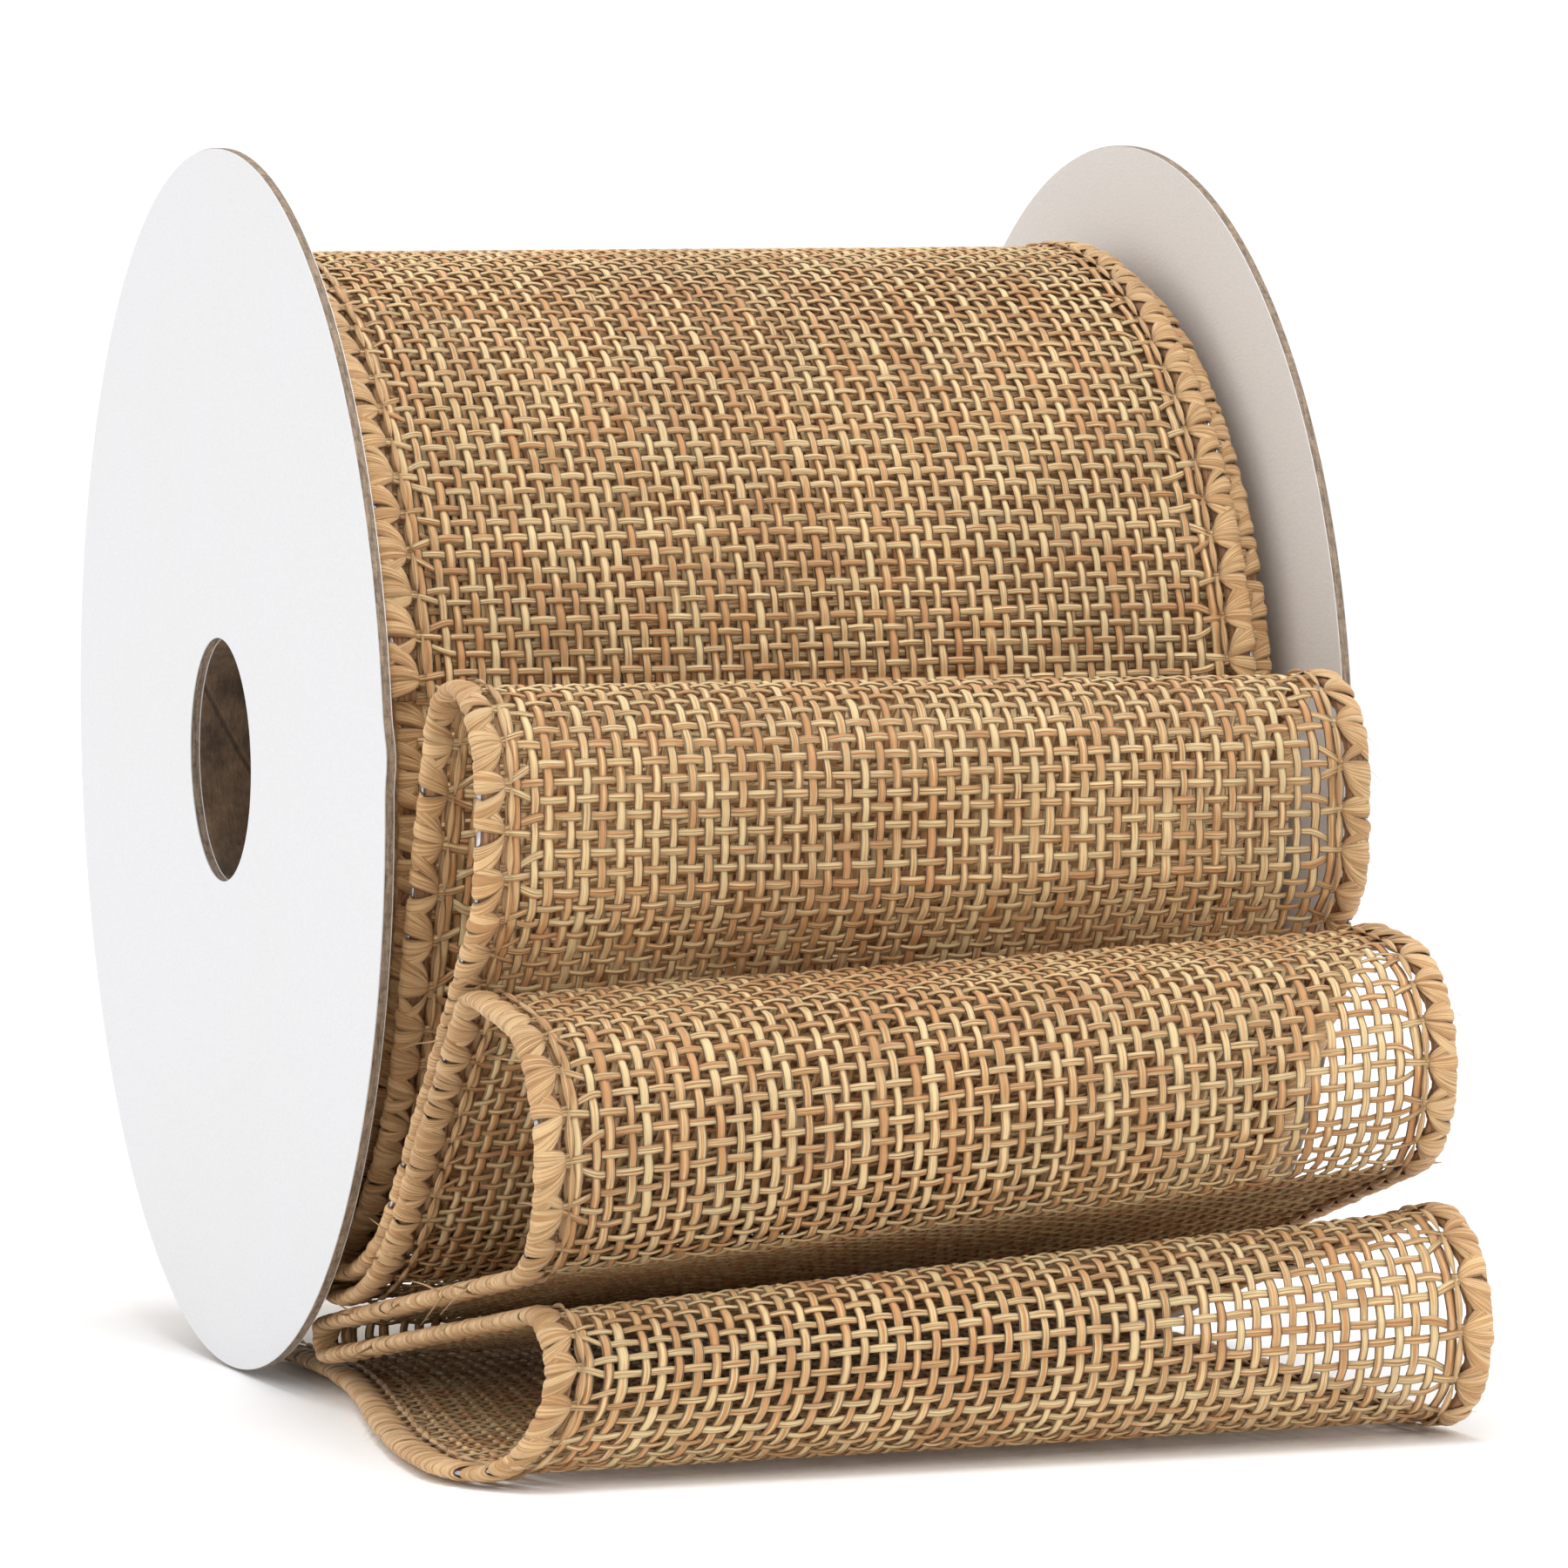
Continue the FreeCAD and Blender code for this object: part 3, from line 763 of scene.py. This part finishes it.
def chain(yarns, surface, edge, side, draw):
    """Spindle-shaped stitches from hole to hole, just inside the band, on both faces."""
    middle, inward = edge_frame(surface, edge, side)
    holes = needle_holes(surface, edge)
    stitch = surface.length / len(holes)
    steps = np.linspace(0, 1, 9)
    body = np.sin(math.pi * steps.clip(0.04, 0.96)) ** 0.7
    for face in (1, -1):
        x = middle + inward * (edge.band / 2 + 0.25 * MM) + draw.normal(0, 0.05, (len(holes), 1)) * MM
        corners = []
        for turn in np.arange(6) / 6 * math.tau:
            aside = 0.36 * MM * body * math.cos(turn)
            lift = face * (0.52 * MM + 0.22 * MM * body * (0.4 + math.sin(turn)))
            along = (holes[:, None] + stitch * (0.03 + 0.94 * steps)).clip(0, surface.length)
            corners.append(surface.place(along, x + aside, lift))
        yarns.add(np.stack(corners, axis=2), draw.normal(0, 0.5, len(holes)))


def edge_tube(name, surface, edge, side, wide, tall, out, material):
    """A closed tube along an edge of the ribbon, moved out from the band's middle."""
    middle, inward = edge_frame(surface, edge, side)
    step, corners = 0.8 * MM, 8
    along = np.linspace(0, surface.length, round(surface.length / step))
    around = np.arange(corners) / corners * math.tau
    points = surface.place(along[:, None], middle - inward * out + wide * np.cos(around),
                           tall * np.sin(around))
    yarns = Yarns()
    yarns.add(points[None], np.zeros(1))
    return yarns.build(name, material)


def overlocked_edge(name, surface, side, seed):
    """The thread and the filling of one edge, as two pieces."""
    _, edge, _, _ = settings()
    draw = np.random.default_rng(seed)
    yarns = Yarns()
    wraps(yarns, surface, edge, side, draw)
    chain(yarns, surface, edge, side, draw)
    thread = yarns.build(name + "_thread", thread_look(edge))
    filling = edge_tube(name + "_filling", surface, edge, side, edge.band / 2 - FILLING_INSET,
                        edge.thickness / 2 - 0.45 * MM, 0.0, filling_look(edge))
    return thread, filling


def stray_fibres(name, surface, seed):
    """Loose fibres along both edges, and the few frayed yarn ends that stand out from the waves."""
    _, edge, _, _ = settings()
    draw = np.random.default_rng(seed)
    yarns = Yarns()
    steps = np.linspace(0, 1, 7)
    for count, reach, thick, waves in ((360, 1.5 * MM, 0.03 * MM, False), (20, 3.0 * MM, 0.20 * MM, True)):
        if waves:
            along = draw.uniform(0.55, 0.80, count) * surface.length
            side = np.where(draw.uniform(0, 1, count) < 0.75, -1, 1)
        else:
            along = draw.uniform(0.02, 0.98, count) * surface.length
            side = np.where(draw.uniform(0, 1, count) < 0.5, -1, 1)
        far = reach * draw.uniform(0.4, 1.0, count)
        rim = np.where(side < 0, surface.low + 0.4 * MM, surface.high - 0.4 * MM)
        lean, rise = draw.normal(0, 0.8, count), draw.normal(0, 0.6, count)
        bend = draw.normal(0, 0.7, count)
        out = rim[:, None] + (side * far)[:, None] * steps
        drift = along[:, None] + far[:, None] * (lean[:, None] * steps + bend[:, None] * steps ** 2)
        lift = far[:, None] * (rise[:, None] * steps - bend[:, None] * 0.6 * steps ** 2)
        body = thick * (1 - 0.75 * steps)
        corners = np.stack([surface.place(drift + body * math.cos(turn), out, lift + body * math.sin(turn))
                            for turn in (0.0, math.tau / 3, math.tau * 2 / 3)], axis=2)
        corners[..., 2] = np.maximum(corners[..., 2], CAD_BOX[0][2])
        yarns.add(corners, draw.normal(-0.4, 0.3, count))
    return yarns.build(name, thread_look(edge))


# ---------------------------------------------------------------- operators

class RIBBON_OT_flanges(bpy.types.Operator):
    """Makes the papers and boards of both flanges, with the knock in the left one's edge"""
    bl_idname = "ribbon.flanges"
    bl_label = "Flanges"

    def execute(self, context):
        _, _, spool, _ = settings()
        looks = {
            "outer_paper": shared("outer_paper", paper_material, spool.paper, (1.0, 0.995, 0.985)),
            "inner_paper": shared("inner_paper", paper_material, spool.lining, (1.0, 0.985, 0.97)),
            "board": shared("cut_board", board_material, spool.board),
        }
        for side, sign in (("left", -1), ("right", 1)):
            for layer, look in looks.items():
                self.disc(side, sign, layer, look, spool)
        return {"FINISHED"}

    def disc(self, side, sign, layer, look, spool):
        lowest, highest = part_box(f"{side}_{layer}")
        rim = (highest[2] - lowest[2]) / 2
        past_ring, roll = 17 * MM, 52 * MM
        radii = np.unique(np.concatenate([
            np.linspace(BORE_RADIUS, past_ring, 24), np.linspace(past_ring, roll, 24),
            np.linspace(roll, rim, 22)]))
        outline = [(lowest[0], radius) for radius in radii]
        outline += [(highest[0], radius) for radius in radii[::-1]]
        lip_height = 0.02 * MM

        def shift(y, z):
            radius = np.hypot(y, z)
            moved = self.sway(y, z, sign)
            if side == "left":
                moved = moved + self.dent(y, z, spool.dent)
            if layer == "outer_paper":
                ring = np.exp(-((radius - RING_RADIUS) / (0.55 * MM)) ** 2)
                lip = np.exp(-((radius - BORE_RADIUS) / (0.5 * MM)) ** 2)
                moved = moved + sign * (spool.ring_height * ring + lip_height * lip)
            return moved

        piece = lathe(f"{side}_{layer}_face", outline, 360, look, shift)
        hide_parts(f"{side}_{layer}")
        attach(piece, "spool")

    @staticmethod
    def sway(y, z, sign):
        """The slight bow of a thin board."""
        turned, radius = np.arctan2(z, y), np.hypot(y, z)
        return sign * 0.12 * MM * (radius / RIM_RADIUS) ** 2 * np.sin(2 * turned + sign)

    @staticmethod
    def dent(y, z, depth):
        """A knock in the front of the left flange's edge, pushed towards the roll."""
        height = z - DENT_HEIGHT
        nearness = np.exp(-(height / (2.2 * MM)) ** 2) * smooth(59 * MM, RIM_RADIUS, -y)
        fold = np.exp(-((height - 0.6 * (y + 60 * MM)) / (0.8 * MM)) ** 2)
        return depth * nearness * (1 + 0.4 * fold)


class RIBBON_OT_tube(bpy.types.Operator):
    """Finishes the tube, the glue that holds it and the tape that starts the ribbon"""
    bl_idname = "ribbon.tube"
    bl_label = "Tube"

    def execute(self, context):
        _, _, spool, _ = settings()
        kraft = shared("kraft_tube", kraft_material, spool.tube)
        glue = shared("dried_glue", glue_material, spool.glue)
        tape = shared("clear_tape", glue_material, linear(214, 196, 150))
        looks = {"tube_inner_ply": kraft, "tube_body": kraft, "left_glue_bead": glue,
                 "right_glue_bead": glue, "start_tape": tape}
        for name, look in looks.items():
            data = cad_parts[name].data
            data.materials.clear()
            data.materials.append(look)
        return {"FINISHED"}


class RIBBON_OT_roll(bpy.types.Operator):
    """Winds the roll: its lower layers, its woven top layer and the edges of that layer"""
    bl_idname = "ribbon.roll"
    bl_label = "Wound roll"

    def execute(self, context):
        cloth, _, _, _ = settings()
        low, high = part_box("wound_left_edge")[0][0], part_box("wound_right_edge")[1][0]
        core = self.layers(low, high, cloth)
        surface = wound_surface(WOUND_RADIUS, low, high)
        top = weave("roll_top_layer", surface, seed=11)
        edge_surface = wound_surface(WOUND_EDGE_RADIUS, low, high)
        parts = [overlocked_edge("roll_left", edge_surface, -1, seed=12),
                 overlocked_edge("roll_right", edge_surface, 1, seed=13)]
        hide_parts("wound_cloth")
        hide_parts("wound_left_edge")
        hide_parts("wound_right_edge")
        for piece in (core, top, *parts[0], *parts[1]):
            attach(piece, "spool")
        return {"FINISHED"}

    def layers(self, low, high, cloth):
        """The lower layers as one ring, with a rib for each turn on both sides."""
        inset, groove = 0.9 * MM, 0.9 * MM
        rib = (CORE_RADIUS - TUBE_RADIUS) / TURNS_ON_ROLL
        left, right = [], []
        for turn in range(TURNS_ON_ROLL):
            for part, depth in ((0.0, groove), (0.22, 0.25 * MM), (0.5, 0.0), (0.78, 0.25 * MM)):
                radius = TUBE_RADIUS + (turn + part) * rib
                left.append((low + inset + depth, radius))
                right.append((high - inset - depth, radius))
        left.append((low + inset + groove, CORE_RADIUS))
        right.append((high - inset - groove, CORE_RADIUS))
        outline = left + right[::-1]
        return lathe("roll_layers", outline, 220, shared("lower_layers", under_material, cloth), sharp=False)


class RIBBON_OT_tail(bpy.types.Operator):
    """Weaves the last turn and the waves, with both overlocked edges and their wires"""
    bl_idname = "ribbon.tail"
    bl_label = "Last turn and waves"

    def execute(self, context):
        _, edge, _, _ = settings()
        low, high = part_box("left_edge_cord")[0][0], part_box("right_edge_cord")[1][0]
        surface = tail_surface(low, high)
        cloth_piece = weave("ribbon_cloth", surface, seed=21)
        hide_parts("last_turn", "wave_one", "wave_two", "wave_three")
        going = []
        for title, side, seed in (("left", -1, 22), ("right", 1, 23)):
            thread, filling = overlocked_edge(f"ribbon_{title}", surface, side, seed)
            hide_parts(f"{title}_edge_cord")
            wire = edge_tube(f"ribbon_{title}_wire", surface, edge, side, edge.wire / 2, edge.wire / 2,
                             edge.band / 2 - FILLING_INSET, shared("edge_wire", wire_material))
            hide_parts(f"{title}_edge_wire")
            going += [thread, filling, wire]
        strays = stray_fibres("stray_fibres", surface, seed=24)
        going.append(strays)
        for piece in (cloth_piece, *going):
            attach(piece, "ribbon_tail")
        return {"FINISHED"}


class RIBBON_OT_stage(bpy.types.Operator):
    """Sets the floor, the soft light and the camera"""
    bl_idname = "ribbon.stage"
    bl_label = "Stage"

    def execute(self, context):
        _, _, _, stage = settings()
        scene = context.scene
        self.floor(stage)
        self.lights(scene, stage)
        data = bpy.data.cameras.new("camera")
        data.lens, data.sensor_width = stage.lens, 36
        data.clip_end = 100
        data.dof.use_dof = False
        camera = bpy.data.objects.new("camera", data)
        turn, tilt, lean = (math.radians(angle) for angle in (-18.411, 87.488, -0.889))
        camera.matrix_world = (Matrix.Translation((-0.2486, -0.7809, 0.0318)) @ Matrix.Rotation(turn, 4, "Z")
                               @ Matrix.Rotation(tilt, 4, "X") @ Matrix.Rotation(lean, 4, "Z"))
        scene.collection.objects.link(camera)
        scene.camera = camera
        scene.view_settings.view_transform = "Standard"
        return {"FINISHED"}

    def floor(self, stage):
        half = 30.0
        level = CAD_BOX[0][2] - 0.0003
        corners = np.array([(-half, -half, level), (half, -half, level), (half, half, level),
                            (-half, half, level)])
        mesh = new_mesh("floor", corners, np.arange(4), np.array([4]))
        material, tree, shader = new_material("pale_floor")
        where = node(tree, "TexCoord").outputs["Object"]
        cloud = spread(tree, noise(tree, where, 6.0), 0.985, 1.0)
        tree.links.new(shade_by(tree, tuple(stage.floor), cloud), shader.inputs["Base Color"])
        shader.inputs["Roughness"].default_value = 0.8
        shader.inputs["Specular IOR Level"].default_value = 0.2
        new_piece("floor", mesh, material)

    def lights(self, scene, stage):
        world = bpy.data.worlds.new("studio")
        world.use_nodes = True
        background = world.node_tree.nodes["Background"]
        background.inputs["Color"].default_value = (1, 1, 1, 1)
        background.inputs["Strength"].default_value = stage.sky
        scene.world = world
        data = bpy.data.lights.new("top", "AREA")
        data.size, data.energy = 0.5, stage.key
        lamp = bpy.data.objects.new("top", data)
        across, away, up = 0.02, -0.17, 0.98
        lamp.location = (across, away, up)
        lamp.rotation_euler = Euler((math.atan2(-away, up), math.asin(across), 0))
        scene.collection.objects.link(lamp)


OPERATORS = (RIBBON_OT_flanges, RIBBON_OT_tube, RIBBON_OT_roll, RIBBON_OT_tail, RIBBON_OT_stage)
GROUPS = {"ribbon_cloth": RIBBON_PG_cloth, "ribbon_edge": RIBBON_PG_edge,
          "ribbon_spool": RIBBON_PG_spool, "ribbon_stage": RIBBON_PG_stage}


class RIBBON_PT_panel(bpy.types.Panel):
    bl_label = "Ribbon Spool"
    bl_idname = "RIBBON_PT_panel"
    bl_space_type = "VIEW_3D"
    bl_region_type = "UI"
    bl_category = "Ribbon Spool"

    def draw(self, context):
        for attribute in GROUPS:
            group = getattr(context.scene, attribute)
            box = self.layout.box()
            for name in group.bl_rna.properties.keys():
                if name not in ("rna_type", "name"):
                    box.prop(group, name)
        for operator in OPERATORS:
            self.layout.operator(operator.bl_idname)


def register():
    for each in (*GROUPS.values(), *OPERATORS, RIBBON_PT_panel):
        bpy.utils.register_class(each)
    for attribute, group in GROUPS.items():
        setattr(bpy.types.Scene, attribute, PointerProperty(type=group))


def unregister():
    for attribute in GROUPS:
        delattr(bpy.types.Scene, attribute)
    for each in (RIBBON_PT_panel, *reversed(OPERATORS), *GROUPS.values()):
        bpy.utils.unregister_class(each)


def main():
    register()
    for operator in OPERATORS:
        group, action = operator.bl_idname.split(".")
        getattr(getattr(bpy.ops, group), action)()


if __name__ == "__main__":
    main()
